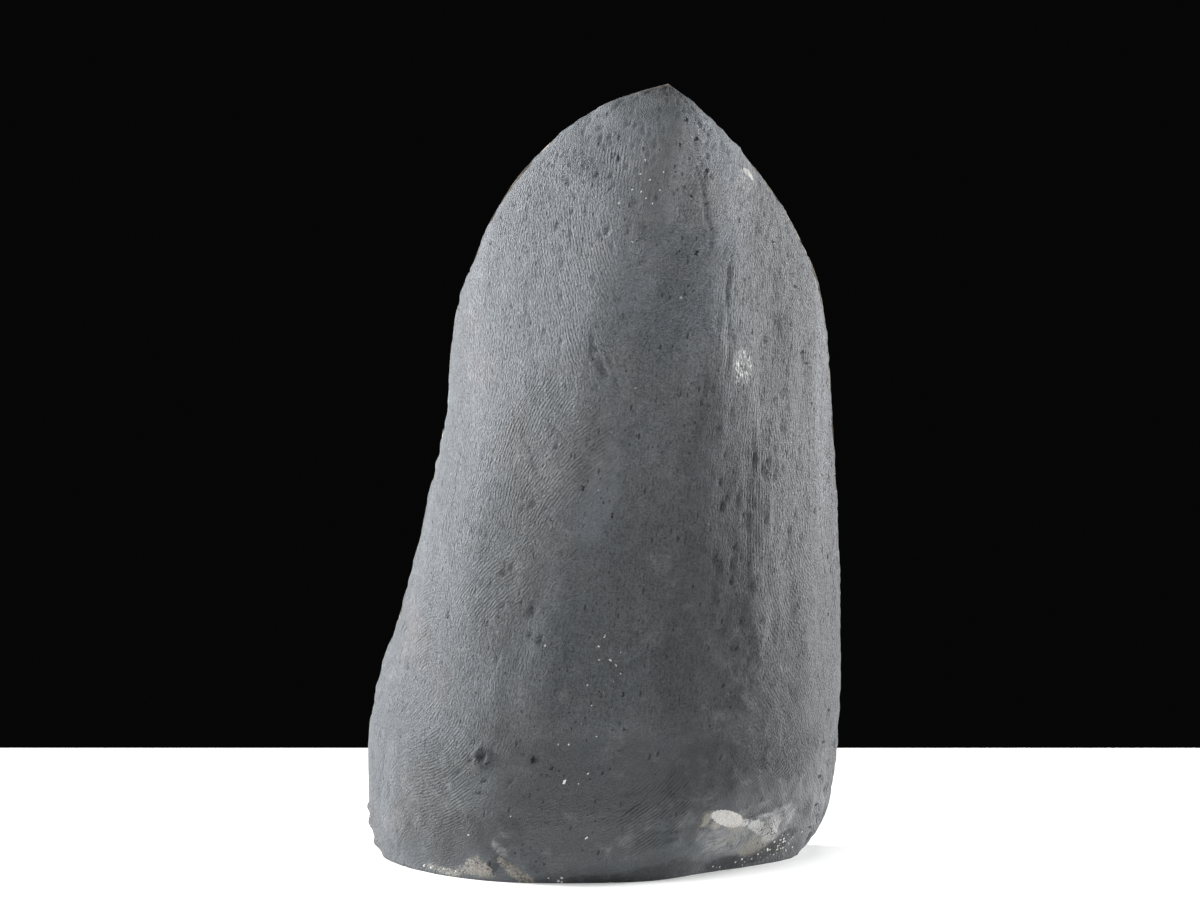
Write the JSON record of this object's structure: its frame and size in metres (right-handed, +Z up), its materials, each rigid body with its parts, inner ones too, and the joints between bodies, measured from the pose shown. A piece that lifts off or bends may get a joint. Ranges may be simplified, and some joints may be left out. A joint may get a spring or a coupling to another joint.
{
  "type": "amethyst geode",
  "caption": "Standing half geode with a sawn stone front, a hollow lined with purple crystals, a brushed dark mortar back and a flat foot.",
  "frame": {"origin": "middle of the foot's bounding box, on the surface that the geode stands on", "axes": "+Z up to the tip; the sawn front and the open hollow face -Y; the coated back faces +Y"},
  "size_m": [0.1862, 0.0998, 0.3],
  "materials": {
    "painted_mortar": "matt dark grey paint over brushed cement mortar, worn to bare mortar and stone at the foot",
    "banded_stone": "sawn and polished banded agate and quartz front, sawn foot",
    "amethyst": "see-through purple quartz points with glossy natural faces"
  },
  "bodies": {
    "root": {"painted_mortar_back": "painted_mortar", "stone_rind": "banded_stone", "amethyst_crystals": "amethyst"}
  },
  "joints": []
}
